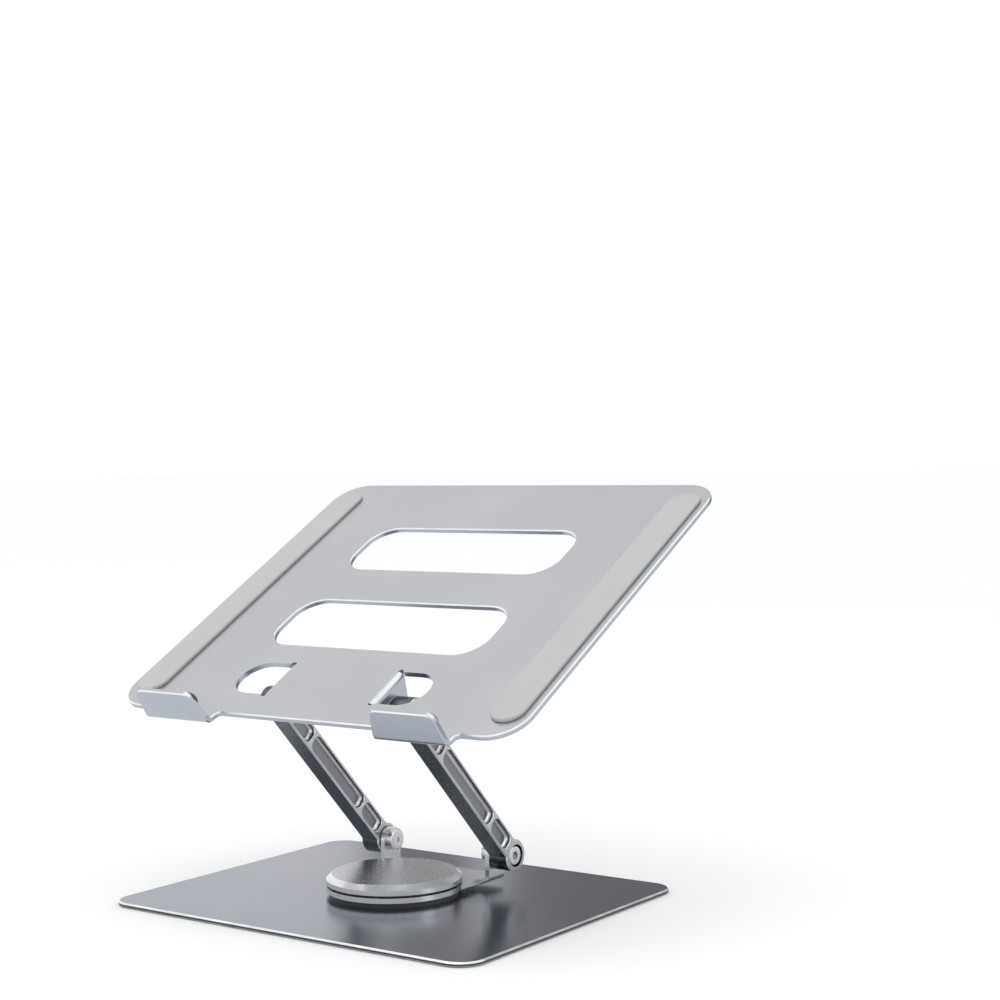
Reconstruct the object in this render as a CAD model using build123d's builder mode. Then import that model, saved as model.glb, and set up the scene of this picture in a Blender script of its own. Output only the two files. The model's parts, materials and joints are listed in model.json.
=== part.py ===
from build123d import *
import math
import os

# Swivelling two-arm laptop stand. Millimetres, +Z up, +X to the user's right, -Y towards the user.
# The origin is the centre of the underside, on the turntable's axis.

# Base
base_width = 225.0
base_depth = 178.0
base_corner = 12.5
base_thickness = 2.0
base_chamfer = 0.8
mat_thickness = 0.5
mat_inset = 5.0
base_top = mat_thickness + base_thickness

# Turntable, stacked upwards from the base plate
thrust_radius = 33.0
thrust_thickness = 2.3
glide_thickness = 0.3
sheet = 2.5
disc_radius = 34.3
gasket_radius = 31.6
gasket_inner_radius = 27.0
gasket_height = 1.2
cap_height = 6.0
cap_chamfer_in = 2.8
cap_chamfer_down = 2.5
cap_wall = 1.4
cavity_radius = 15.0
glide_bottom = base_top + thrust_thickness
bracket_bottom = glide_bottom + glide_thickness
bracket_top = bracket_bottom + sheet
cap_top = bracket_top + cap_height

# Spindle that everything turns on
spindle_radius = 6.0
running_gap = 0.05
swivel_bush_radius = 8.0
flange_radius = 12.0
flange_pocket = 1.0
flange_thickness = 0.8
stud_radius = 4.0
spring_height = 0.9
spindle_nut_flats = 13.0
spindle_nut_height = 2.0
spindle_top = cap_top - cap_wall - 0.2
upper_washer_radius = 11.0
spring_radius = 9.6
spring_sheet = 0.4

# Countersunk screws, heads just under flush
base_screw_circle = 25.0
cap_screw_circle = 23.0
screw_radius = 1.5
screw_head_radius = 2.9
screw_head_height = 1.4
screw_sunk = 0.1
screw_hole_radius = 1.6
countersink_radius = 3.1

# Hinges: the same stack of parts at each of the four pivots, from the inside outwards
bend_inside = 0.8
bend_outside = bend_inside + sheet
ear_inner = 32.9
ear_outer = ear_inner + sheet
washer_thickness = 0.6
arm_inner = ear_outer + washer_thickness
arm_width = 11.6
arm_outer = arm_inner + arm_width
recess_radius = 5.7
recess_depth = 4.2
recess_floor = arm_outer - recess_depth
bolt_radius = 3.0
bolt_head_radius = 5.0
bolt_head_height = 2.8
spring_thickness = 0.8
hinge_bush_radius = 4.2
washer_radius = 6.6
nut_radius = 5.6
nut_height = 3.6
nut_round = 0.9
bolt_socket_flats = 4.0
bolt_socket_depth = 1.8
nut_socket_flats = 2.5
nut_socket_depth = 0.5
bolt_end = ear_inner - nut_height + 0.8

# Arms, held between the lower and upper pivots
lower_y = 39.1
lower_z = 19.6
upper_y = -38.2
upper_z = 100.7
knuckle_radius = 8.0
arm_thickness = 11.0
arm_edge = 0.7
pocket_width = 8.2
pocket_corner = 3.3
pocket_depth = 2.8
pocket_rim = 0.35
pocket_floor_round = 2.2
arm_blend = 20.0
arm_length = math.hypot(upper_y - lower_y, upper_z - lower_z)
pocket_spans = ((9.3, 27.4), (29.6, arm_length - 29.6), (arm_length - 27.4, arm_length - 9.3))

# Hinge bracket
neck_half_width = 31.0
bracket_ear_radius = 6.6
ear_foot = 3.2
bracket_back = lower_y + bracket_ear_radius

# Tray, in a frame of its own: x across, y up the slope from the pivot, z square to the tray
tray_tilt = 29.4
tray_width = 250.0
tray_depth = 216.0
tray_corner = 18.0
tray_edge = 0.6
tray_top = 14.7
tray_under = tray_top - sheet
pivot_from_front = 29.1
tab_radius = 12.7
tab_tip_radius = 8.6
tab_start = ear_outer - bend_outside
slot_length = 135.0
slot_height = 41.0
slot_corner = 15.0
slot_centres = (78.5, 149.0)
relief_radius = 1.6
tab_hole_reach = 59.6

# Hooks on the tray's front edge
hook_inner = 52.3
hook_outer = 94.3
hook_top_inner = 57.4
hook_top_outer = 93.0
hook_reach = 8.0
hook_height = 16.5
hook_lean = 4.5
hook_root = 8.0
hook_blend = 3.0
hook_round = 5.0
hook_edge = 0.6
liner_thickness = 1.6
liner_inset = 1.6

# Rubber pads along the tray's sides
pad_width = 18.0
pad_thickness = 2.2
pad_centre = 112.0
pad_end_margin = 10.5
pad_edge = 0.8

os.makedirs("parts", exist_ok=True)

slope = math.radians(tray_tilt)
tray_frame = Plane(
    origin=(0, upper_y, upper_z), x_dir=(1, 0, 0), z_dir=(0, -math.sin(slope), math.cos(slope))
)
tray_normal = Axis((0, upper_y, upper_z), tray_frame.z_dir)
up_slope = Axis((0, upper_y, upper_z), tray_frame.y_dir)
tray_front = -pivot_from_front


def tray_side(x):
    """Plane square to the hinge axis: local x runs up the tray's slope, local y away from the tray."""
    return Plane(origin=(x, upper_y, upper_z), x_dir=tray_frame.y_dir, z_dir=(1, 0, 0))


def tray_facing():
    """Plane through the upper pivots that faces the user: local x across, local y away from the tray."""
    return Plane(origin=(0, upper_y, upper_z), x_dir=(1, 0, 0), z_dir=-tray_frame.y_dir)


def pivot_plane(x, y, z):
    """Plane square to a hinge axis that faces outwards on the right side: local x is Y, local y is Z."""
    return Plane(origin=(x, y, z), x_dir=(0, 1, 0), z_dir=(1, 0, 0))


def arm_plane(x):
    """Plane of the right arm: local x runs from the lower pivot to the upper one."""
    along = (0, upper_y - lower_y, upper_z - lower_z)
    return Plane(origin=(x, lower_y, lower_z), x_dir=along, z_dir=(1, 0, 0))


# ---------- base: plate, mat, thrust plate and its screws ----------

with BuildPart() as base_plate:
    with BuildSketch(Plane.XY.offset(mat_thickness)):
        RectangleRounded(base_width, base_depth, base_corner)
    extrude(amount=base_thickness)
    chamfer(base_plate.faces().sort_by(Axis.Z)[-1].edges(), length=base_chamfer)
    chamfer(base_plate.faces().sort_by(Axis.Z)[0].edges(), length=0.3)
    with BuildSketch(Plane.XY.offset(mat_thickness)):
        Circle(flange_radius + 0.2)
    extrude(amount=flange_pocket, mode=Mode.SUBTRACT)
    with BuildSketch(Plane.XY.offset(mat_thickness)):
        Circle(spindle_radius)
    extrude(amount=base_thickness, mode=Mode.SUBTRACT)
    with Locations(Plane.XY.offset(mat_thickness).rotated((180, 0, 0))):
        with PolarLocations(base_screw_circle, 4, start_angle=45):
            CounterSinkHole(radius=screw_hole_radius, counter_sink_radius=countersink_radius, depth=base_thickness)
base_plate.part.label = "base_plate"
export_step(base_plate.part, "parts/base_plate.step")

with BuildPart() as base_mat:
    with BuildSketch():
        RectangleRounded(base_width - 2 * mat_inset, base_depth - 2 * mat_inset, base_corner - 3)
    extrude(amount=mat_thickness)
    chamfer(base_mat.faces().sort_by(Axis.Z)[0].edges(), length=0.15)
base_mat.part.label = "base_mat"
export_step(base_mat.part, "parts/base_mat.step")

with BuildPart() as thrust_plate:
    with BuildSketch(Plane.XY.offset(base_top)):
        Circle(thrust_radius)
        Circle(spindle_radius + 0.2, mode=Mode.SUBTRACT)
        with PolarLocations(base_screw_circle, 4, start_angle=45):
            Circle(screw_radius, mode=Mode.SUBTRACT)
    extrude(amount=thrust_thickness)
thrust_plate.part.label = "thrust_plate"
export_step(thrust_plate.part, "parts/thrust_plate.step")

with BuildPart() as base_screws:
    with PolarLocations(base_screw_circle, 4, start_angle=45):
        with Locations((0, 0, mat_thickness + screw_sunk)):
            Cone(
                screw_head_radius, screw_radius, screw_head_height,
                align=(Align.CENTER, Align.CENTER, Align.MIN),
            )
        with Locations((0, 0, mat_thickness + screw_sunk + screw_head_height)):
            shank = base_thickness + thrust_thickness - screw_head_height - 2 * screw_sunk
            Cylinder(screw_radius, shank, align=(Align.CENTER, Align.CENTER, Align.MIN))
base_screws.part.label = "base_screws"
export_step(base_screws.part, "parts/base_screws.step")

# ---------- turntable: spindle, washers, bush, spring, nut and cap ----------

with BuildPart() as pivot_spindle:
    with BuildSketch(Plane.XY.offset(mat_thickness + flange_pocket - flange_thickness)):
        Circle(flange_radius)
    extrude(amount=flange_thickness)
    with BuildSketch(Plane.XY.offset(mat_thickness + flange_pocket)):
        Circle(spindle_radius)
    extrude(amount=bracket_top - mat_thickness - flange_pocket)
    with BuildSketch(Plane.XY.offset(bracket_top)):
        Circle(stud_radius)
    extrude(amount=spindle_top - bracket_top)
    chamfer(pivot_spindle.faces().sort_by(Axis.Z)[-1].edges(), length=0.5)
pivot_spindle.part.label = "pivot_spindle"
export_step(pivot_spindle.part, "parts/pivot_spindle.step")

with BuildPart() as lower_glide_washer:
    with BuildSketch(Plane.XY.offset(glide_bottom)):
        Circle(thrust_radius - 1.0)
        Circle(swivel_bush_radius + 0.5, mode=Mode.SUBTRACT)
    extrude(amount=glide_thickness)
lower_glide_washer.part.label = "lower_glide_washer"
export_step(lower_glide_washer.part, "parts/lower_glide_washer.step")

with BuildPart() as swivel_bush:
    with BuildSketch(Plane.XY.offset(bracket_bottom)):
        Circle(swivel_bush_radius)
        Circle(spindle_radius + running_gap, mode=Mode.SUBTRACT)
    extrude(amount=sheet)
swivel_bush.part.label = "swivel_bush"
export_step(swivel_bush.part, "parts/swivel_bush.step")

with BuildPart() as upper_glide_washer:
    with BuildSketch(Plane.XY.offset(bracket_top)):
        Circle(upper_washer_radius)
        Circle(stud_radius + 0.3, mode=Mode.SUBTRACT)
    extrude(amount=glide_thickness)
upper_glide_washer.part.label = "upper_glide_washer"
export_step(upper_glide_washer.part, "parts/upper_glide_washer.step")

spring_bottom = bracket_top + glide_thickness
with BuildPart() as disc_spring:
    with BuildSketch(Plane.XZ):
        with BuildLine():
            Polyline(
                (spring_radius, spring_bottom),
                (spring_radius, spring_bottom + spring_sheet),
                (stud_radius + 0.3, spring_bottom + spring_height),
                (stud_radius + 0.3, spring_bottom + spring_height - spring_sheet),
                close=True,
            )
        make_face()
    revolve(axis=Axis.Z)
disc_spring.part.label = "disc_spring"
export_step(disc_spring.part, "parts/disc_spring.step")

nut_bottom = spring_bottom + spring_height
with BuildPart() as spindle_nut:
    with BuildSketch(Plane.XY.offset(nut_bottom)):
        RegularPolygon(spindle_nut_flats / 2, 6, major_radius=False)
        Circle(stud_radius, mode=Mode.SUBTRACT)
    extrude(amount=spindle_nut_height)
spindle_nut.part.label = "spindle_nut"
export_step(spindle_nut.part, "parts/spindle_nut.step")

with BuildPart() as cap_gasket:
    with BuildSketch(Plane.XY.offset(bracket_top)):
        Circle(gasket_radius)
        Circle(gasket_inner_radius, mode=Mode.SUBTRACT)
    extrude(amount=gasket_height)
cap_gasket.part.label = "cap_gasket"
export_step(cap_gasket.part, "parts/cap_gasket.step")

with BuildPart() as turntable_cap:
    with BuildSketch(Plane.XZ):
        with BuildLine():
            Polyline(
                (0, bracket_top),
                (gasket_inner_radius, bracket_top),
                (gasket_inner_radius, bracket_top + gasket_height),
                (disc_radius, bracket_top + gasket_height),
                (disc_radius, cap_top - cap_chamfer_down),
                (disc_radius - cap_chamfer_in, cap_top),
                (0, cap_top),
                close=True,
            )
        make_face()
    revolve(axis=Axis.Z)
    fillet(turntable_cap.edges().filter_by(GeomType.CIRCLE).group_by(Axis.Z)[-1], radius=0.4)
    with BuildSketch(Plane.XY.offset(bracket_top)):
        Circle(cavity_radius)
    extrude(amount=cap_height - cap_wall, mode=Mode.SUBTRACT)
    with BuildSketch(Plane.XY.offset(bracket_top)):
        with PolarLocations(cap_screw_circle, 3, start_angle=90):
            Circle(screw_radius)
    extrude(amount=3.6, mode=Mode.SUBTRACT)
turntable_cap.part.label = "turntable_cap"
export_step(turntable_cap.part, "parts/turntable_cap.step")

with BuildPart() as cap_screws:
    with PolarLocations(cap_screw_circle, 3, start_angle=90):
        with Locations((0, 0, bracket_bottom + screw_sunk)):
            Cone(
                screw_head_radius, screw_radius, screw_head_height,
                align=(Align.CENTER, Align.CENTER, Align.MIN),
            )
        with Locations((0, 0, bracket_bottom + screw_sunk + screw_head_height)):
            Cylinder(screw_radius, sheet + 1.8, align=(Align.CENTER, Align.CENTER, Align.MIN))
cap_screws.part.label = "cap_screws"
export_step(cap_screws.part, "parts/cap_screws.step")

# ---------- hinge bracket: a disc and neck of sheet with two ears bent up ----------

with BuildPart() as bracket_ear:
    with BuildSketch(Plane.XZ.offset(-lower_y)):
        with BuildLine():
            bend_centre = (tab_start, bracket_top + bend_inside)
            CenterArc(bend_centre, bend_outside, -90, 90)
            ear_top = lower_z + bracket_ear_radius
            Polyline(
                (ear_outer, bend_centre[1]), (ear_outer, ear_top), (ear_inner, ear_top),
                (ear_inner, bend_centre[1]),
            )
            CenterArc(bend_centre, bend_inside, -90, 90)
            Line((tab_start, bracket_bottom), (tab_start, bracket_top))
        make_face()
    extrude(amount=bracket_ear_radius + ear_foot, both=True)
    with BuildSketch(pivot_plane(tab_start, lower_y, lower_z)) as ear_side:
        with Locations((0, -lower_z / 2)):
            Rectangle(2 * bracket_ear_radius, lower_z)
        with Locations((-ear_foot / 2, bracket_bottom + 0.5 - lower_z)):
            Rectangle(2 * bracket_ear_radius + ear_foot, 3.0)
        inner_corner = ear_side.vertices().sort_by_distance(
            (tab_start, lower_y - bracket_ear_radius, bracket_bottom + 2.0)
        )[0]
        fillet(inner_corner, radius=ear_foot - 0.2)
        Circle(bracket_ear_radius)
        Circle(bolt_radius, mode=Mode.SUBTRACT)
    extrude(amount=2 * bend_outside, mode=Mode.INTERSECT)

with BuildPart() as hinge_bracket:
    with BuildSketch(Plane.XY.offset(bracket_bottom)):
        Circle(disc_radius)
        with Locations((0, bracket_back / 2)):
            Rectangle(2 * neck_half_width, bracket_back)
        with Locations((0, lower_y - ear_foot / 2)):
            Rectangle(2 * tab_start, 2 * bracket_ear_radius + ear_foot)
        Circle(swivel_bush_radius, mode=Mode.SUBTRACT)
    extrude(amount=sheet)
    add(bracket_ear.part)
    mirror(bracket_ear.part, about=Plane.YZ)
    with Locations(Plane.XY.offset(bracket_bottom).rotated((180, 0, 0))):
        with PolarLocations(cap_screw_circle, 3, start_angle=-90):
            CounterSinkHole(radius=screw_hole_radius, counter_sink_radius=countersink_radius, depth=sheet)
hinge_bracket.part.label = "hinge_bracket"
export_step(hinge_bracket.part, "parts/hinge_bracket.step")

# ---------- arms ----------

with BuildPart() as right_arm:
    with BuildSketch(arm_plane(arm_inner)) as outline:
        with Locations((arm_length / 2, 0)):
            Rectangle(arm_length, arm_thickness)
        with Locations((0, 0), (arm_length, 0)):
            Circle(knuckle_radius)
        shoulders = [
            corner
            for corner in outline.vertices()
            if abs(math.hypot(corner.Y - lower_y, corner.Z - lower_z) - knuckle_radius) < 0.01
            or abs(math.hypot(corner.Y - upper_y, corner.Z - upper_z) - knuckle_radius) < 0.01
        ]
        fillet(shoulders, radius=arm_blend)
    extrude(amount=arm_width)
    chamfer(right_arm.faces().filter_by(Axis.X).edges(), length=arm_edge)
    for face_plane, depth in ((arm_plane(arm_outer), -pocket_depth), (arm_plane(arm_inner), pocket_depth)):
        with BuildSketch(face_plane):
            for start, end in pocket_spans:
                with Locations(((start + end) / 2, 0)):
                    RectangleRounded(end - start, pocket_width, pocket_corner)
        extrude(amount=depth, mode=Mode.SUBTRACT)
    side_faces = right_arm.faces().sort_by(Axis.X)
    rims = [rim for side_face in (side_faces[0], side_faces[-1]) for rim in side_face.inner_wires()]
    chamfer([edge for rim in rims for edge in rim.edges()], length=pocket_rim)
    floors = right_arm.faces().filter_by(Axis.X).filter_by(
        lambda face: arm_inner + 0.1 < face.center().X < arm_outer - 0.1
    )
    fillet(floors.edges(), radius=pocket_floor_round)
    with BuildSketch(arm_plane(arm_outer)):
        with Locations((0, 0), (arm_length, 0)):
            Circle(recess_radius)
    extrude(amount=-recess_depth, mode=Mode.SUBTRACT)
    with BuildSketch(arm_plane(arm_outer)):
        with Locations((0, 0), (arm_length, 0)):
            Circle(hinge_bush_radius)
    extrude(amount=-arm_width, mode=Mode.SUBTRACT)
right_arm.part.label = "right_arm"
export_step(right_arm.part, "parts/right_arm.step")

with BuildPart() as left_arm:
    mirror(right_arm.part, about=Plane.YZ)
left_arm.part.label = "left_arm"
export_step(left_arm.part, "parts/left_arm.step")

# ---------- hinge hardware, one set at the lower pivots and one at the upper ----------

for level, axis_y, axis_z in (("lower", lower_y, lower_z), ("upper", upper_y, upper_z)):
    with BuildPart() as bolts:
        with BuildSketch(pivot_plane(bolt_end, axis_y, axis_z)):
            Circle(bolt_radius)
        extrude(amount=recess_floor + spring_thickness - bolt_end)
        with BuildSketch(pivot_plane(recess_floor + spring_thickness, axis_y, axis_z)):
            Circle(bolt_head_radius)
        extrude(amount=bolt_head_height)
        chamfer(bolts.faces().sort_by(Axis.X)[-1].edges(), length=0.5)
        with BuildSketch(pivot_plane(recess_floor + spring_thickness + bolt_head_height, axis_y, axis_z)):
            RegularPolygon(bolt_socket_flats / 2, 6, major_radius=False)
        extrude(amount=-bolt_socket_depth, mode=Mode.SUBTRACT)
        mirror(about=Plane.YZ)
    bolts.part.label = level + "_hinge_bolts"
    export_step(bolts.part, "parts/" + level + "_hinge_bolts.step")

    with BuildPart() as nuts:
        with BuildSketch(pivot_plane(ear_inner - nut_height, axis_y, axis_z)):
            Circle(nut_radius)
        extrude(amount=nut_height)
        fillet(nuts.faces().sort_by(Axis.X)[0].edges(), radius=nut_round)
        with BuildSketch(pivot_plane(bolt_end, axis_y, axis_z)):
            Circle(bolt_radius)
        extrude(amount=ear_inner - bolt_end, mode=Mode.SUBTRACT)
        with BuildSketch(pivot_plane(ear_inner - nut_height, axis_y, axis_z)):
            RegularPolygon(nut_socket_flats / 2, 6, major_radius=False)
        extrude(amount=nut_socket_depth, mode=Mode.SUBTRACT)
        mirror(about=Plane.YZ)
    nuts.part.label = level + "_hinge_nuts"
    export_step(nuts.part, "parts/" + level + "_hinge_nuts.step")

    with BuildPart() as washers:
        with BuildSketch(pivot_plane(ear_outer, axis_y, axis_z)):
            Circle(washer_radius)
            Circle(bolt_radius + 0.05, mode=Mode.SUBTRACT)
        extrude(amount=washer_thickness)
        mirror(about=Plane.YZ)
    washers.part.label = level + "_friction_washers"
    export_step(washers.part, "parts/" + level + "_friction_washers.step")

    with BuildPart() as springs:
        with BuildSketch(pivot_plane(recess_floor, axis_y, axis_z)):
            Circle(bolt_head_radius + 0.2)
            Circle(bolt_radius + 0.05, mode=Mode.SUBTRACT)
        extrude(amount=spring_thickness)
        mirror(about=Plane.YZ)
    springs.part.label = level + "_spring_washers"
    export_step(springs.part, "parts/" + level + "_spring_washers.step")

    with BuildPart() as bushes:
        with BuildSketch(pivot_plane(arm_inner, axis_y, axis_z)):
            Circle(hinge_bush_radius)
            Circle(bolt_radius + running_gap, mode=Mode.SUBTRACT)
        extrude(amount=recess_floor - arm_inner)
        mirror(about=Plane.YZ)
    bushes.part.label = level + "_arm_bushes"
    export_step(bushes.part, "parts/" + level + "_arm_bushes.step")

# ---------- tray: one sheet with two tabs bent down and two hooks bent up ----------

with BuildPart() as hinge_tab:
    with BuildSketch(tray_facing()):
        with BuildLine():
            tab_centre = (tab_start, tray_top - bend_outside)
            CenterArc(tab_centre, bend_outside, 0, 90)
            Polyline(
                (ear_outer, tab_centre[1]), (ear_outer, -tab_tip_radius), (ear_inner, -tab_tip_radius),
                (ear_inner, tab_centre[1]),
            )
            CenterArc(tab_centre, bend_inside, 0, 90)
            Line((tab_start, tray_under), (tab_start, tray_top))
        make_face()
    extrude(amount=tab_radius, both=True)
    with BuildSketch(tray_side(tab_start)):
        with Locations((0, tray_top)):
            Rectangle(2 * tab_radius, 2 * bend_outside)
        Circle(tab_tip_radius)
        make_hull()
        Circle(bolt_radius, mode=Mode.SUBTRACT)
    extrude(amount=2 * bend_outside, mode=Mode.INTERSECT)

lean = math.radians(hook_lean)
hook_bend_y = tray_front - hook_reach + bend_outside
hook_top = tray_top + hook_height


def hook_face(radius, height):
    """Point on a hook's straight wall: its bend radius on that side, and height above the tray's top."""
    out = (radius + (height - bend_inside) * math.sin(lean)) / math.cos(lean)
    return (hook_bend_y - out, tray_top + height)


with BuildPart() as hook:
    with BuildSketch(tray_side(hook_inner)):
        with BuildLine():
            hook_centre = (hook_bend_y, tray_top + bend_inside)
            outer_arc = CenterArc(hook_centre, bend_outside, 180 + hook_lean, 90 - hook_lean)
            inner_arc = CenterArc(hook_centre, bend_inside, 180 + hook_lean, 90 - hook_lean)
            Polyline(
                outer_arc @ 0, hook_face(bend_outside, hook_height),
                hook_face(bend_inside, hook_height), inner_arc @ 0,
            )
            Line(outer_arc @ 1, inner_arc @ 1)
        make_face()
    extrude(amount=hook_outer - hook_inner)
    with BuildSketch(tray_facing()):
        with BuildLine():
            slant_start = tray_top + 1.5
            FilletPolyline(
                (hook_inner, tray_under), (hook_inner, slant_start), (hook_top_inner, hook_top),
                (hook_top_outer, hook_top), (hook_outer, slant_start), (hook_outer, tray_under),
                radius=hook_round, close=False,
            )
            Line((hook_inner, tray_under), (hook_outer, tray_under))
        make_face()
    extrude(amount=pivot_from_front + 3 * hook_reach, mode=Mode.INTERSECT)
    outer_wall = hook.faces().filter_by(GeomType.PLANE).sort_by(up_slope)[0]
    chamfer(outer_wall.edges().sort_by(tray_normal)[1:], length=hook_edge)

with BuildPart() as tray_plate:
    with BuildSketch(tray_frame.offset(tray_under)) as flat:
        with Locations((0, tray_front + tray_depth / 2)):
            RectangleRounded(tray_width, tray_depth, tray_corner)
        for middle in (-(hook_inner + hook_outer) / 2, (hook_inner + hook_outer) / 2):
            with Locations((middle, hook_bend_y + hook_root / 2)):
                Rectangle(hook_outer - hook_inner, hook_root)
        roots = [
            corner
            for corner in flat.vertices()
            if abs(tray_frame.to_local_coords(corner).Y - tray_front) < 0.01
            and abs(abs(corner.X) - (hook_inner + hook_outer) / 2) < (hook_outer - hook_inner) / 2 + 0.01
        ]
        fillet(roots, radius=hook_blend)
        for slot_y in slot_centres:
            with Locations((0, tray_front + slot_y)):
                RectangleRounded(slot_length, slot_height, slot_corner, mode=Mode.SUBTRACT)
        for side in (-1, 1):
            with Locations((side * (tab_hole_reach - tab_radius), 0)):
                Circle(tab_radius, mode=Mode.SUBTRACT)
            with Locations((side * (tab_start + tab_hole_reach - tab_radius) / 2, 0)):
                Rectangle(tab_hole_reach - tab_radius - tab_start, 2 * tab_radius, mode=Mode.SUBTRACT)
            with Locations((side * (tab_start + 2.0), tab_radius), (side * (tab_start + 2.0), -tab_radius)):
                Circle(relief_radius, mode=Mode.SUBTRACT)
    extrude(amount=sheet)
    top_face = tray_plate.faces().sort_by(tray_normal)[-1]
    rims = [top_face.outer_wire()] + [hole for hole in top_face.inner_wires() if hole.length > slot_length]
    cut_edges = [
        edge
        for rim in rims
        for edge in rim.edges()
        if tray_frame.to_local_coords(edge.center()).Y > tray_front - 0.5 * hook_blend
    ]
    chamfer(cut_edges, length=tray_edge)
    add(hinge_tab.part)
    mirror(hinge_tab.part, about=Plane.YZ)
    add(hook.part)
    mirror(hook.part, about=Plane.YZ)
tray_plate.part.label = "tray_plate"
export_step(tray_plate.part, "parts/tray_plate.step")

# ---------- rubber: pads along the tray and liners inside the hooks ----------

with BuildPart() as right_pad:
    with BuildSketch(tray_frame.offset(tray_top)):
        with Locations((pad_centre, tray_front + tray_depth / 2)):
            SlotOverall(tray_depth - 2 * pad_end_margin, pad_width, rotation=90)
    extrude(amount=pad_thickness)
    fillet(right_pad.faces().sort_by(tray_normal)[-1].edges(), radius=pad_edge)
right_pad.part.label = "right_pad"
export_step(right_pad.part, "parts/right_pad.step")

with BuildPart() as left_pad:
    mirror(right_pad.part, about=Plane.YZ)
left_pad.part.label = "left_pad"
export_step(left_pad.part, "parts/left_pad.step")

with BuildPart() as right_hook_liner:
    with BuildSketch(tray_side(hook_inner)):
        with BuildLine():
            liner_foot = hook_face(bend_inside, bend_inside + 0.2)
            liner_head = hook_face(bend_inside, hook_height - liner_inset)
            Polyline(
                liner_foot, liner_head, (liner_head[0] + liner_thickness, liner_head[1]),
                (liner_foot[0] + liner_thickness, liner_foot[1]), close=True,
            )
        make_face()
    extrude(amount=hook_outer - hook_inner)
    with BuildSketch(tray_facing()):
        with BuildLine():
            liner_low = tray_top + bend_inside
            liner_high = hook_top - liner_inset
            FilletPolyline(
                (hook_inner + liner_inset, liner_low), (hook_top_inner + 0.8, liner_high),
                (hook_top_outer - 0.8, liner_high), (hook_outer - liner_inset, liner_low),
                radius=hook_round - 1, close=False,
            )
            Line((hook_inner + liner_inset, liner_low), (hook_outer - liner_inset, liner_low))
        make_face()
    extrude(amount=pivot_from_front + 3 * hook_reach, mode=Mode.INTERSECT)
right_hook_liner.part.label = "right_hook_liner"
export_step(right_hook_liner.part, "parts/right_hook_liner.step")

with BuildPart() as left_hook_liner:
    mirror(right_hook_liner.part, about=Plane.YZ)
left_hook_liner.part.label = "left_hook_liner"
export_step(left_hook_liner.part, "parts/left_hook_liner.step")
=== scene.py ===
import json
import math
import bmesh
import bpy
import numpy as np
from mathutils import Matrix, Vector


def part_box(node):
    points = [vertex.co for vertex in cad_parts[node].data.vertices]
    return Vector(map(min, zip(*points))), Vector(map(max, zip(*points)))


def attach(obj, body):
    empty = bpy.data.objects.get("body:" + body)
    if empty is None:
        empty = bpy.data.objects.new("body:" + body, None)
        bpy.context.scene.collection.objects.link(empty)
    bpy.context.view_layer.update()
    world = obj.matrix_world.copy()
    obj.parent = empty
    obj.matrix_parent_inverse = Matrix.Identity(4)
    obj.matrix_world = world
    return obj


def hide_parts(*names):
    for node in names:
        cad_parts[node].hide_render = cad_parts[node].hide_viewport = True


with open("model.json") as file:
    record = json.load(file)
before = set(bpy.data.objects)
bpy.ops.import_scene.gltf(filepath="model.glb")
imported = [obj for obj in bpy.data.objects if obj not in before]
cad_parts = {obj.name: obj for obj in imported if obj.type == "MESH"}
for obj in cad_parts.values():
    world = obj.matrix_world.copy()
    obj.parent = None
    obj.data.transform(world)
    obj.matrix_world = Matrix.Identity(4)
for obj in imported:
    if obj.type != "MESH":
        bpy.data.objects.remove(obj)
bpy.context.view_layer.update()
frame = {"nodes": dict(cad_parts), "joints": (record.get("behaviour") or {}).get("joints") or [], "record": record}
nodes = frame["nodes"]
mounts = {m["name"]: m for m in frame["record"]["mounts"]}
joints = {j["name"]: j for j in frame["joints"]}
print("frame loaded,", len(nodes), "nodes")

mm = 0.001

studio = {
    "cameraPlace": (0.6095, -0.7455, 0.2260),
    "cameraTurn": 35.92,  # degrees round from straight ahead
    "cameraDip": 1.57,  # degrees below level
    "cameraRoll": -0.93,
    "lens": 69.1,
    "sensor": 36.0,
    "skyColour": (0.99, 0.995, 1.0),
    "skyStrength": 1.03,
    "floorColour": (0.96, 0.96, 0.96),
    "floorHalf": 14.0,
    "floorDrop": 0.02 * mm,  # a hair under the mat, so that the two never share a plane
    "floorRoughness": 0.9,
}
softboxes = {
    "overhead": {"place": (-0.5, -0.4, 2.0), "aim": (0, 0, 0.1), "size": (1.6, 1.6), "power": 5.0},
    "right": {"place": (1.9, 0.2, 0.9), "aim": (0, 0, 0.1), "size": (0.6, 1.4), "power": 3.0},
}
# dark boards stand in a ring behind the stand: the turns they cover, in degrees to the left of +Y
flagRing = {"distance": 2.2, "top": 2.0, "spans": ((-25.0, 34.6), (35.9, 40.3)), "shade": 0.24}


def lookAlong(place, aim):
    direction = Vector(aim) - Vector(place)
    return Matrix.Translation(place) @ direction.to_track_quat("-Z", "Y").to_matrix().to_4x4()


def makeCamera(s):
    data = bpy.data.cameras.new("camera")
    data.lens = s["lens"]
    data.sensor_width = s["sensor"]
    data.clip_end = 100.0
    camera = bpy.data.objects.new("camera", data)
    bpy.context.scene.collection.objects.link(camera)
    turn, dip, roll = (math.radians(s[k]) for k in ("cameraTurn", "cameraDip", "cameraRoll"))
    back = Vector((math.sin(turn) * math.cos(dip), -math.cos(turn) * math.cos(dip), math.sin(dip)))
    upright = (-back).to_track_quat("-Z", "Y")
    camera.rotation_mode = "QUATERNION"
    camera.rotation_quaternion = upright @ Matrix.Rotation(roll, 3, "Z").to_quaternion()
    camera.location = s["cameraPlace"]
    bpy.context.scene.camera = camera


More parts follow.
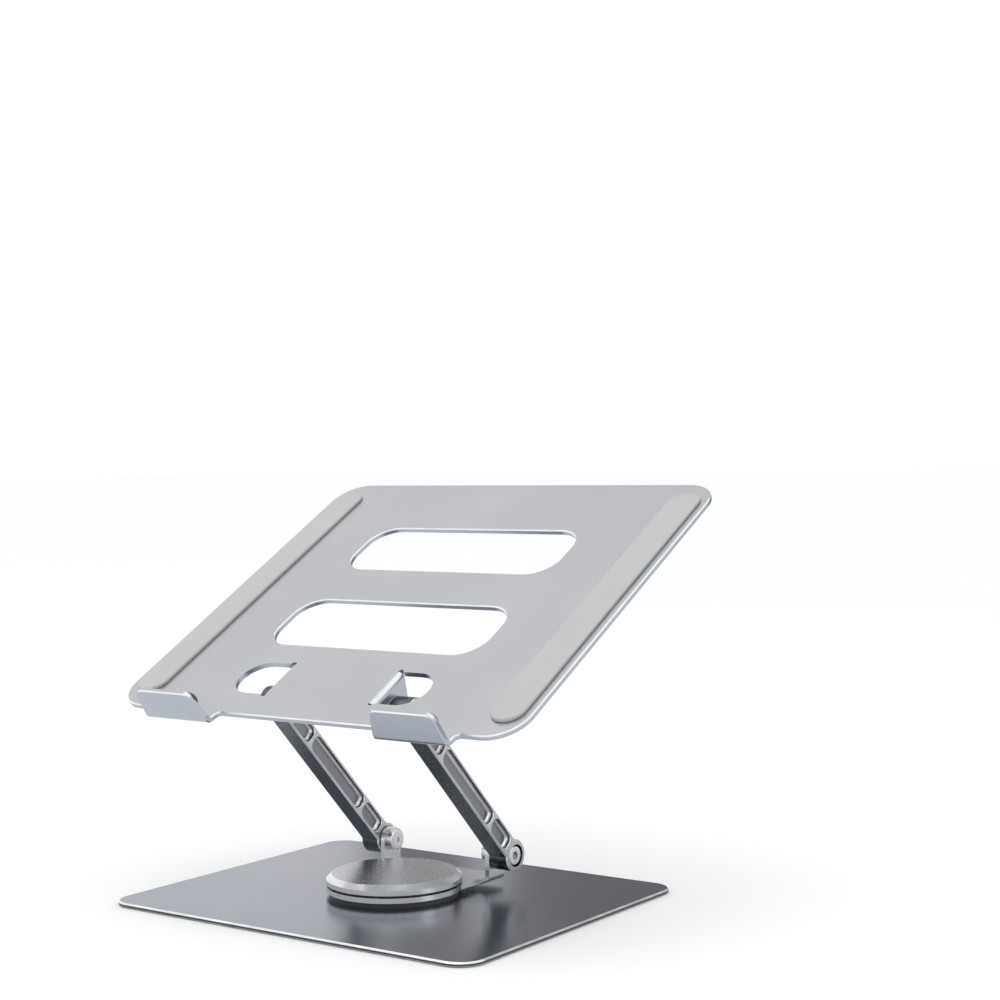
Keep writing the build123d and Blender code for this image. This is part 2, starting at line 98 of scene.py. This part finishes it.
def makeSky(s):
    world = bpy.data.worlds.new("studio")
    bpy.context.scene.world = world
    world.use_nodes = True
    background = world.node_tree.nodes["Background"]
    background.inputs["Color"].default_value = (*s["skyColour"], 1)
    background.inputs["Strength"].default_value = s["skyStrength"]


def makeSoftbox(name, s):
    data = bpy.data.lights.new(name, "AREA")
    data.shape = "RECTANGLE"
    data.size, data.size_y = s["size"]
    data.energy = s["power"]
    light = bpy.data.objects.new(name, data)
    bpy.context.scene.collection.objects.link(light)
    light.matrix_world = lookAlong(s["place"], s["aim"])
    light.visible_camera = False


def makeFloor(name, s):
    mesh = bpy.data.meshes.new(name)
    half = s["floorHalf"]
    corners = [(-half, -half), (half, -half), (half, half), (-half, half)]
    mesh.from_pydata([(x, y, -s["floorDrop"]) for x, y in corners], [], [(0, 1, 2, 3)])
    sheet = bpy.data.objects.new(name, mesh)
    bpy.context.scene.collection.objects.link(sheet)
    return sheet


def plainPaint(name, colour, roughness):
    mat = bpy.data.materials.new(name)
    mat.use_nodes = True
    bsdf = mat.node_tree.nodes["Principled BSDF"]
    bsdf.inputs["Base Color"].default_value = (*colour, 1)
    bsdf.inputs["Roughness"].default_value = roughness
    return mat


def makeFlag(name, fromTurn, toTurn, s):
    # an upright dark board that only reflections see
    ends = [(-math.sin(math.radians(t)) * s["distance"], math.cos(math.radians(t)) * s["distance"])
            for t in (fromTurn, toTurn)]
    corners = [(*ends[0], 0.0), (*ends[1], 0.0), (*ends[1], s["top"]), (*ends[0], s["top"])]
    mesh = bpy.data.meshes.new(name)
    mesh.from_pydata(corners, [], [(0, 1, 2, 3)])
    mesh.materials.append(plainPaint(name, (s["shade"],) * 3, 1.0))
    flag = bpy.data.objects.new(name, mesh)
    bpy.context.scene.collection.objects.link(flag)
    for kind in ("camera", "diffuse", "shadow", "transmission", "volume_scatter"):
        setattr(flag, "visible_" + kind, False)


makeCamera(studio)
makeSky(studio)
for name, box in softboxes.items():
    makeSoftbox(name, box)
for number, (fromTurn, toTurn) in enumerate(flagRing["spans"]):
    makeFlag("flag%d" % number, fromTurn, toTurn, flagRing)
floor = makeFloor("floor", studio)
floor.data.materials.append(plainPaint("floorPaint", studio["floorColour"], studio["floorRoughness"]))
bpy.context.scene.view_settings.view_transform = "Standard"
print("camera, light and floor made")


upward = (0, 0, 1)
sideways = (1, 0, 0)
# what the finishes share: heights are in metres, scales are per metre, and each pair of fade values is
# how squarely a surface faces the finish's axis where a fade starts and where it is complete
finishing = {
    "metalGrainHeight": 0.02 * mm,
    "rubberGrainHeight": 0.05 * mm,
    "turnedGrainStrength": 0.05,
    "turnedCloudScale": 160.0,
    "rubberCloudScale": 45.0,
    "chamferFadeIn": (0.50, 0.62),
    "chamferFadeOut": (0.86, 0.96),
    "wallFade": (0.15, 0.45),
    "pocketFloorFade": (0.6, 0.9),
    "floorStart": 0.8,  # share of a pocket floor's depth at which its painted shade begins
    "wearScale": 90.0,
    "wearShare": (0.7, 1.0),  # how much of a chamfer's brightness, cut metal and painted highlight, stays, from most to least worn
    "edgeMetalLoss": 0.45,
}


def addNode(tree, kind, **values):
    node = tree.nodes.new("ShaderNode" + kind)
    for key, value in values.items():
        if key in node.inputs:
            node.inputs[key].default_value = value
        else:
            setattr(node, key, value)
    return node


def startMaterial(name):
    mat = bpy.data.materials.new(name)
    mat.use_nodes = True
    tree = mat.node_tree
    bsdf = tree.nodes["Principled BSDF"]
    place = addNode(tree, "TexCoord").outputs["Object"]
    return mat, tree, bsdf, place


def noise(tree, place, scale, detail=4.0, roughness=0.55):
    node = addNode(tree, "TexNoise", Scale=scale, Detail=detail, Roughness=roughness)
    tree.links.new(place, node.inputs["Vector"])
    return node.outputs["Fac"]


def spread(tree, value, low, high, fromLow=0.3, fromHigh=0.7):
    # a value remapped between two limits
    node = addNode(tree, "MapRange")
    node.inputs["From Min"].default_value = fromLow
    node.inputs["From Max"].default_value = fromHigh
    node.inputs["To Min"].default_value = low
    node.inputs["To Max"].default_value = high
    tree.links.new(value, node.inputs["Value"])
    return node.outputs["Result"]


def maths(tree, operation, a, b=0.0, clamp=False):
    node = addNode(tree, "Math", operation=operation, use_clamp=clamp)
    for socket, value in zip(node.inputs, (a, b)):
        if isinstance(value, (int, float)):
            socket.default_value = value
        else:
            tree.links.new(value, socket)
    return node.outputs["Value"]


def blendColour(tree, factor, first, second):
    node = addNode(tree, "Mix", data_type="RGBA")
    tree.links.new(factor, node.inputs["Factor"])
    for socket, value in ((node.inputs[6], first), (node.inputs[7], second)):
        if isinstance(value, tuple):
            socket.default_value = (*value, 1)
        else:
            tree.links.new(value, socket)
    return node.outputs[2]


def bumpFrom(tree, bsdf, height, strength, distance):
    bump = addNode(tree, "Bump", Strength=strength, Distance=distance)
    tree.links.new(height, bump.inputs["Height"])
    tree.links.new(bump.outputs["Normal"], bsdf.inputs["Normal"])


def facing(tree, axis):
    # how squarely a surface faces along an axis of the object, either way: 1 square on, 0 edge on
    dot = addNode(tree, "VectorMath", operation="DOT_PRODUCT")
    tree.links.new(addNode(tree, "TexCoord").outputs["Normal"], dot.inputs[0])
    dot.inputs[1].default_value = axis
    return maths(tree, "ABSOLUTE", dot.outputs["Value"])


def edgeHighlightBand(tree, square):
    # 1 on the chamfers and bends, which lean half way between the face and the side walls: the band where the
    # finishes lay bright chamfers and a painted highlight
    rising = spread(tree, square, 0.0, 1.0, *finishing["chamferFadeIn"])
    falling = spread(tree, square, 1.0, 0.0, *finishing["chamferFadeOut"])
    return maths(tree, "MULTIPLY", rising, falling, True)


def pocketShadeMask(tree, place, square, depth):
    # 1 on the flat floors of the arms' pockets, from the given depth below the side faces inwards: where the
    # pockets' painted shade goes
    inner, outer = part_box("right_arm")[0][0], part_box("right_arm")[1][0]
    apart = addNode(tree, "SeparateXYZ")
    tree.links.new(place, apart.inputs["Vector"])
    across = maths(tree, "ABSOLUTE", apart.outputs["X"])
    offMiddle = maths(tree, "ABSOLUTE", maths(tree, "SUBTRACT", across, (inner + outer) / 2))
    faceAt = (outer - inner) / 2
    sunk = spread(tree, offMiddle, 1.0, 0.0, faceAt - depth, faceAt - finishing["floorStart"] * depth)
    level = spread(tree, square, 0.0, 1.0, *finishing["pocketFloorFade"])
    return maths(tree, "MULTIPLY", sunk, level, True)


def anodised(name, s):
    # bead-blasted, dyed aluminium: soft mottling, fine grain, painted shade on the side walls (painted light where
    # the wall colour is lighter), painted shade on pocket floors, and chamfers cut bright after dyeing, a little
    # worn in places, with a painted highlight on the same band
    mat, tree, bsdf, place = startMaterial(name)
    square = facing(tree, s["axis"])
    cloud = noise(tree, place, s["cloudScale"], 3.0)
    grain = noise(tree, place, s["grainScale"], 2.0)
    tone = blendColour(tree, spread(tree, cloud, 0, 1), s["dark"], s["light"])
    # painted shade on the walls that lean away from the axis, painted light instead where the wall colour is the
    # lighter one, as on the turntable
    sides = spread(tree, square, 1.0, 0.0, *finishing["wallFade"])
    walled = blendColour(tree, sides, tone, s["wall"])
    # painted shade on the floors of the arms' pockets
    if "floor" in s:
        walled = blendColour(tree, pocketShadeMask(tree, place, square, s["floorDepth"]), walled, s["floor"])
    patchy = spread(tree, noise(tree, place, finishing["wearScale"]), *finishing["wearShare"])
    # bright cut chamfers, with a painted highlight on the same band that takes in bends too, patchy with wear
    brightChamfersAndHighlight = maths(tree, "MULTIPLY", edgeHighlightBand(tree, square), patchy, True)
    tree.links.new(blendColour(tree, brightChamfersAndHighlight, walled, s["edge"]), bsdf.inputs["Base Color"])
    # the bright band loses some of its metal look, so its painted highlight shows whatever it faces
    lessMetal = maths(tree, "MULTIPLY", brightChamfersAndHighlight, finishing["edgeMetalLoss"])
    tree.links.new(maths(tree, "SUBTRACT", 1.0, lessMetal), bsdf.inputs["Metallic"])
    matt = spread(tree, grain, *s["roughness"])
    shiny = maths(tree, "SUBTRACT", matt, maths(tree, "MULTIPLY", brightChamfersAndHighlight, s["edgePolish"]), True)
    tree.links.new(shiny, bsdf.inputs["Roughness"])
    bumpFrom(tree, bsdf, grain, s["grainStrength"], finishing["metalGrainHeight"])
    return mat


def turnedMetal(name, s):
    # bright plated or bare metal with fine grain and lighter chamfers; the lighter band is partly painted
    # highlight, laid wherever a surface leans half way from the sideways axis
    mat, tree, bsdf, place = startMaterial(name)
    bsdf.inputs["Metallic"].default_value = 1.0
    cloud = noise(tree, place, finishing["turnedCloudScale"])
    grain = noise(tree, place, s["grainScale"], 3.0)
    tone = blendColour(tree, spread(tree, cloud, 0, 1), s["dark"], s["light"])
    # lighter chamfers, partly painted highlight on every surface leaning half way from the sideways axis
    brightChamfersAndHighlight = edgeHighlightBand(tree, facing(tree, sideways))
    tree.links.new(blendColour(tree, brightChamfersAndHighlight, tone, s["edge"]), bsdf.inputs["Base Color"])
    tree.links.new(spread(tree, grain, *s["roughness"]), bsdf.inputs["Roughness"])
    bumpFrom(tree, bsdf, grain, finishing["turnedGrainStrength"], finishing["metalGrainHeight"])
    return mat


def mouldedRubber(name, s):
    # matt elastomer: fine moulded grain, soft clouding, and a painted sheen, a lighter tone where the surface
    # leans from level, which takes in rounded edges and, more weakly, the whole top of a pad on the sloping tray
    mat, tree, bsdf, place = startMaterial(name)
    bsdf.inputs["Specular IOR Level"].default_value = s["shine"]
    cloud = noise(tree, place, finishing["rubberCloudScale"])
    grain = noise(tree, place, s["grainScale"], 3.0)
    tone = blendColour(tree, spread(tree, cloud, 0, 1), s["dark"], s["light"])
    # painted sheen: the lighter edge colour laid where the surface leans half way from level
    paintedSheen = maths(tree, "MULTIPLY", edgeHighlightBand(tree, facing(tree, upward)), s["paintedSheenShare"], True)
    tree.links.new(blendColour(tree, paintedSheen, tone, s["edge"]), bsdf.inputs["Base Color"])
    tree.links.new(spread(tree, grain, *s["roughness"]), bsdf.inputs["Roughness"])
    bumpFrom(tree, bsdf, grain, s["grainStrength"], finishing["rubberGrainHeight"])
    return mat


trayNormal = Vector(mounts["right_pad_top"]["axis"])
# in each look the wall colour is painted shade on the side walls (painted light on the turntable, where it is
# lighter), the floor colour painted shade in the arms' pockets, and the edge colour bright chamfers with a painted
# highlight
anodisedLooks = {
    "basePlate": {
        "nodes": ("base_plate",), "axis": upward,
        "dark": (0.235, 0.252, 0.295), "light": (0.260, 0.278, 0.322), "wall": (0.06, 0.063, 0.07),
        "edge": (0.92, 0.93, 0.94), "roughness": (0.20, 0.25), "cloudScale": 14.0, "grainScale": 1500.0,
        "grainStrength": 0.02, "edgePolish": 0.08,
    },
    "turntable": {
        "nodes": ("turntable_cap", "hinge_bracket"), "axis": upward,
        "dark": (0.50, 0.515, 0.54), "light": (0.57, 0.585, 0.61), "wall": (0.68, 0.69, 0.70),
        "edge": (0.88, 0.89, 0.90), "roughness": (0.24, 0.30), "cloudScale": 16.0, "grainScale": 1500.0,
        "grainStrength": 0.02, "edgePolish": 0.06,
    },
    "tray": {
        "nodes": ("tray_plate",), "axis": tuple(trayNormal),
        "dark": (0.465, 0.475, 0.492), "light": (0.51, 0.52, 0.54), "wall": (0.42, 0.455, 0.505),
        "edge": (0.90, 0.91, 0.92), "roughness": (0.27, 0.33), "cloudScale": 16.0, "grainScale": 1500.0,
        "grainStrength": 0.02, "edgePolish": 0.06,
    },
    "arm": {
        "nodes": ("left_arm", "right_arm"), "axis": sideways,
        "dark": (0.42, 0.43, 0.45), "light": (0.48, 0.49, 0.51), "wall": (0.12, 0.13, 0.145),
        "floor": (0.19, 0.195, 0.21), "floorDepth": 2.4 * mm,
        "edge": (0.92, 0.92, 0.93), "roughness": (0.24, 0.31), "cloudScale": 30.0, "grainScale": 1500.0,
        "grainStrength": 0.02, "edgePolish": 0.06,
    },
}
# each edge colour is a lighter chamfer, partly painted highlight
metalLooks = {
    "hinge_steel": {
        "dark": (0.55, 0.55, 0.56), "light": (0.68, 0.68, 0.69), "edge": (0.85, 0.85, 0.86),
        "roughness": (0.18, 0.28), "grainScale": 2200.0,
    },
    "zinc_steel": {
        "dark": (0.50, 0.51, 0.53), "light": (0.64, 0.65, 0.67), "edge": (0.8, 0.8, 0.82),
        "roughness": (0.24, 0.36), "grainScale": 1700.0,
    },
    "bush_brass": {
        "dark": (0.62, 0.45, 0.20), "light": (0.76, 0.58, 0.30), "edge": (0.88, 0.72, 0.42),
        "roughness": (0.22, 0.34), "grainScale": 1900.0,
    },
}
# each edge colour is a painted sheen on surfaces that lean from level
rubberLooks = {
    "grey_silicone": {
        "dark": (0.42, 0.42, 0.415), "light": (0.46, 0.46, 0.455), "edge": (0.55, 0.55, 0.54),
        "roughness": (0.5, 0.62), "grainScale": 1100.0, "grainStrength": 0.25, "paintedSheenShare": 0.5, "shine": 0.4,
    },
    "dark_rubber": {
        "dark": (0.055, 0.057, 0.06), "light": (0.08, 0.082, 0.086), "edge": (0.16, 0.16, 0.165),
        "roughness": (0.55, 0.7), "grainScale": 1700.0, "grainStrength": 0.4, "paintedSheenShare": 0.5, "shine": 0.35,
    },
    "black_rubber": {
        "dark": (0.018, 0.018, 0.019), "light": (0.03, 0.03, 0.031), "edge": (0.09, 0.09, 0.09),
        "roughness": (0.6, 0.75), "grainScale": 1300.0, "grainStrength": 0.45, "paintedSheenShare": 0.5, "shine": 0.3,
    },
    "black_plastic": {
        "dark": (0.02, 0.02, 0.021), "light": (0.032, 0.032, 0.034), "edge": (0.1, 0.1, 0.1),
        "roughness": (0.38, 0.5), "grainScale": 2000.0, "grainStrength": 0.3, "paintedSheenShare": 0.4, "shine": 0.5,
    },
    # the turntable's dark washers, real parts whose near-black also stands in for the shade of the grooves they
    # sit in: partly painted shade
    "dark_washer": {
        "dark": (0.04, 0.04, 0.042), "light": (0.06, 0.06, 0.063), "edge": (0.13, 0.13, 0.13),
        "roughness": (0.4, 0.52), "grainScale": 2200.0, "grainStrength": 0.3, "paintedSheenShare": 0.4, "shine": 0.5,
    },
    "low_friction_plastic": {
        "dark": (0.74, 0.74, 0.71), "light": (0.82, 0.82, 0.79), "edge": (0.9, 0.9, 0.88),
        "roughness": (0.35, 0.48), "grainScale": 1800.0, "grainStrength": 0.25, "paintedSheenShare": 0.4, "shine": 0.5,
    },
}
slotMaterials = {name: turnedMetal(name, look) for name, look in metalLooks.items()}
slotMaterials.update({name: mouldedRubber(name, look) for name, look in rubberLooks.items()})
nodeMaterials = {}
for name, look in anodisedLooks.items():
    finish = anodised(name, look)
    nodeMaterials.update({node: finish for node in look["nodes"]})

for part in frame["record"]["subparts"]:
    mesh = nodes[part["node"]].data
    mesh.materials.clear()
    mesh.materials.append(nodeMaterials.get(part["node"]) or slotMaterials[part["material_slot"]])
print("materials made,", len(bpy.data.materials))

trayAcross = Vector((1, 0, 0))
traySlope = trayNormal.cross(trayAcross)
trayPivot = Vector(joints["tray_tilt"]["pos_m"])


def nodePoints(node):
    mesh = nodes[node].data
    flat = np.zeros(len(mesh.vertices) * 3)
    mesh.vertices.foreach_get("co", flat)
    return flat.reshape(-1, 3)


def trayCoordinates(node):
    # a CAD node's vertices as across, up the slope and away from the tray, from the tray's pivot
    return (nodePoints(node) - np.array(trayPivot)) @ np.array([trayAcross, traySlope, trayNormal]).T


def fromTray(points):
    return points @ np.array([trayAcross, traySlope, trayNormal]) + np.array(trayPivot)


mergeGap = 0.002 * mm  # points of a ring that are nearer than this are one point


def ringMesh(name, rings):
    # rings is (ring, point, 3): neighbouring rings are joined by faces, each ring closed on itself
    count, size = rings.shape[:2]
    ring, point = np.meshgrid(np.arange(count - 1), np.arange(size), indexing="ij")
    after = (point + 1) % size
    faces = np.stack([ring * size + point, ring * size + after,
                      (ring + 1) * size + after, (ring + 1) * size + point], axis=-1).reshape(-1, 4)
    mesh = bpy.data.meshes.new(name)
    mesh.from_pydata(rings.reshape(-1, 3).tolist(), [], faces.tolist())
    work = bmesh.new()
    work.from_mesh(mesh)
    bmesh.ops.remove_doubles(work, verts=work.verts, dist=mergeGap)
    bmesh.ops.dissolve_degenerate(work, edges=work.edges, dist=mergeGap / 2)
    bmesh.ops.recalc_face_normals(work, faces=work.faces)
    work.to_mesh(mesh)
    work.free()
    mesh.shade_smooth()
    piece = bpy.data.objects.new(name, mesh)
    bpy.context.scene.collection.objects.link(piece)
    return piece


def finishPiece(piece, node, body, slotName):
    piece.data.materials.append(slotMaterials[slotName])
    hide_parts(node)
    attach(piece, body)


padShape = {
    "edgeRound": 0.9 * mm,
    "crown": 0.35 * mm,  # how much the middle stands above the shoulder
    "foot": 0.25 * mm,  # bevel where it is stuck down
    "spineShare": 1.0,  # the crown runs up to this share of the pad's middle line
    "arcPoints": 33,
    "edgeRings": 7,
    "crownRings": 12,
}
linerShape = {
    "innerSlant": 5.0 * mm,  # how far the end nearer the middle leans in over its height
    "outerSlant": 1.2 * mm,
    "cornerRound": 3.2 * mm,
    "edgeRound": 0.5 * mm,
    "crown": 0.12 * mm,
    "foot": 0.1 * mm,
    "spineShare": 0.0,  # the crown ends in a single point
    "arcPoints": 13,
    "edgeRings": 6,
    "crownRings": 6,
}
matShape = {
    "grooveDepth": 0.16 * mm,
    "groovePitch": 2.5 * mm,
    "pointsPerGroove": 8,
    "cornerRound": 9.5 * mm,
    "endPoints": 24,
}


def cushionRings(centres, turns, radius, thick, s):
    # A moulded pad. Its outline is an arc about each centre in turn, joined by straight sides, and a ring
    # is that outline drawn in by an inset. The height rises by a quarter circle at the edge and then by a
    # shallow parabola to the middle, where every ring point meets its centre's share of the middle line.
    direction = np.stack([np.cos(turns), np.sin(turns)], axis=-1)
    middle = centres.mean(axis=0)
    rollOver = np.linspace(0, np.pi / 2, s["edgeRings"])
    shoulder = thick - s["crown"]
    edgeInset = s["edgeRound"] * (1 - np.cos(rollOver))
    edgeHeight = shoulder - s["edgeRound"] * (1 - np.sin(rollOver))
    inward = np.linspace(0, 1, s["crownRings"] + 1)[1:]
    edge = centres + (radius - s["edgeRound"]) * direction
    spine = middle + (centres - middle) * s["spineShare"]
    crown = edge + (spine - edge) * inward[:, None, None]
    crownHeight = shoulder + s["crown"] * (1 - (1 - inward) ** 2)
    inset = np.concatenate([[s["foot"], 0.0], edgeInset])
    sides = centres + (radius - inset)[:, None, None] * direction
    flat = np.concatenate([np.broadcast_to(spine, sides[:1].shape), sides, crown])
    height = np.concatenate([[0.0, 0.0, s["foot"]], edgeHeight, crownHeight])
    lift = np.broadcast_to(height[:, None, None], (*flat.shape[:2], 1))
    return np.concatenate([flat, lift], axis=-1)


def arcOutline(corners, starts, sweep, points):
    # each corner's centre repeated along its arc, and the direction of each point of the arcs
    centres = np.repeat(np.array(corners), points, axis=0)
    turns = np.concatenate([np.linspace(start, start + turn, points) for start, turn in zip(starts, sweep)])
    return centres, turns


def padRings(low, high, s):
    # a long pad with full round ends
    radius = (high[0] - low[0]) / 2
    middleX = (high[0] + low[0]) / 2
    corners = [(middleX, high[1] - radius), (middleX, low[1] + radius)]
    centres, turns = arcOutline(corners, (0, np.pi), (np.pi, np.pi), s["arcPoints"])
    return cushionRings(centres, turns, radius, high[2] - low[2], s) + [0, 0, low[2]]


def linerRings(low, high, inward, s):
    # a slab with four rounded corners, narrower at the top; inward is the side nearer the stand's middle
    slants = (s["innerSlant"], s["outerSlant"]) if inward < 0 else (s["outerSlant"], s["innerSlant"])
    leans = [math.atan2(slant, high[1] - low[1]) for slant in slants]
    r = s["cornerRound"]
    # a rounded corner's centre stands off a leaning side by its radius over the cosine of the lean
    away = [r / math.cos(lean) for lean in leans]
    upper = [slant * (1 - r / (high[1] - low[1])) for slant in slants]
    lower = [slant * r / (high[1] - low[1]) for slant in slants]
    corners = [
        (high[0] - upper[1] - away[1], high[1] - r), (low[0] + upper[0] + away[0], high[1] - r),
        (low[0] + lower[0] + away[0], low[1] + r), (high[0] - lower[1] - away[1], low[1] + r),
    ]
    starts = (leans[1], np.pi / 2, np.pi - leans[0], 3 * np.pi / 2)
    sweep = (np.pi / 2 - leans[1], np.pi / 2 - leans[0], np.pi / 2 + leans[0], np.pi / 2 + leans[1])
    centres, turns = arcOutline(corners, starts, sweep, s["arcPoints"])
    return cushionRings(centres, turns, r, high[2] - low[2], s) + [0, 0, low[2]]


def matRings(low, high, s):
    # A thin mat as a row of upright slices. A slice reaches out as far as the rounded corners allow, and
    # its lower edge follows a cosine across the mat, which makes grooves along the other way.
    half = (high - low) / 2
    corner = s["cornerRound"]
    grooves = int((half[0] - corner) * 2 / s["groovePitch"])
    plain = np.linspace(-(half[0] - corner), half[0] - corner, grooves * s["pointsPerGroove"] + 1)
    swing = np.linspace(0, np.pi / 2, s["endPoints"])[1:]
    across = np.concatenate([-(half[0] - corner + corner * np.sin(swing))[::-1], plain,
                             half[0] - corner + corner * np.sin(swing)])
    drop = corner * (1 - np.cos(swing))
    reach = half[1] - np.concatenate([drop[::-1], np.zeros(len(plain)), drop])
    wave = 0.5 - 0.5 * np.cos(2 * np.pi * grooves * (plain - plain[0]) / (plain[-1] - plain[0]))
    under = s["grooveDepth"] * np.concatenate([np.zeros(len(swing)), wave, np.zeros(len(swing))])
    top = np.full(len(across), high[2] - low[2])
    slices = np.stack([
        np.stack([across, -reach, under], axis=-1), np.stack([across, reach, under], axis=-1),
        np.stack([across, reach, top], axis=-1), np.stack([across, -reach, top], axis=-1),
    ], axis=1)
    ends = [np.broadcast_to(one.mean(axis=0), (1, 4, 3)) for one in (slices[0], slices[-1])]
    centre = np.array([(low[0] + high[0]) / 2, (low[1] + high[1]) / 2, low[2]])
    return np.concatenate([ends[0], slices, ends[1]]) + centre


def placeRings(rings, toPlace):
    return toPlace(rings.reshape(-1, 3)).reshape(rings.shape)


for side in ("left", "right"):
    shape = trayCoordinates(side + "_pad")
    pad = ringMesh(side + "PadSkin", placeRings(padRings(shape.min(0), shape.max(0), padShape), fromTray))
    finishPiece(pad, side + "_pad", "tray", "grey_silicone")
print("pads made")

for side, inward in (("left", 1), ("right", -1)):
    stopAxis = Vector(mounts[side + "_hook_stop"]["axis"])
    hookAxes = np.array([trayAcross, stopAxis.cross(trayAcross), stopAxis])
    shape = nodePoints(side + "_hook_liner") @ hookAxes.T
    rings = linerRings(shape.min(0), shape.max(0), inward, linerShape)
    liner = ringMesh(side + "LinerSkin", placeRings(rings, lambda points: points @ hookAxes))
    finishPiece(liner, side + "_hook_liner", "tray", "dark_rubber")
print("hook liners made")

matLow, matHigh = (np.array(corner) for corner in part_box("base_mat"))
mat = ringMesh("groovedMat", matRings(matLow, matHigh, matShape))
mat.data.shade_flat()
finishPiece(mat, "base_mat", "base", "black_rubber")
print("base mat made")
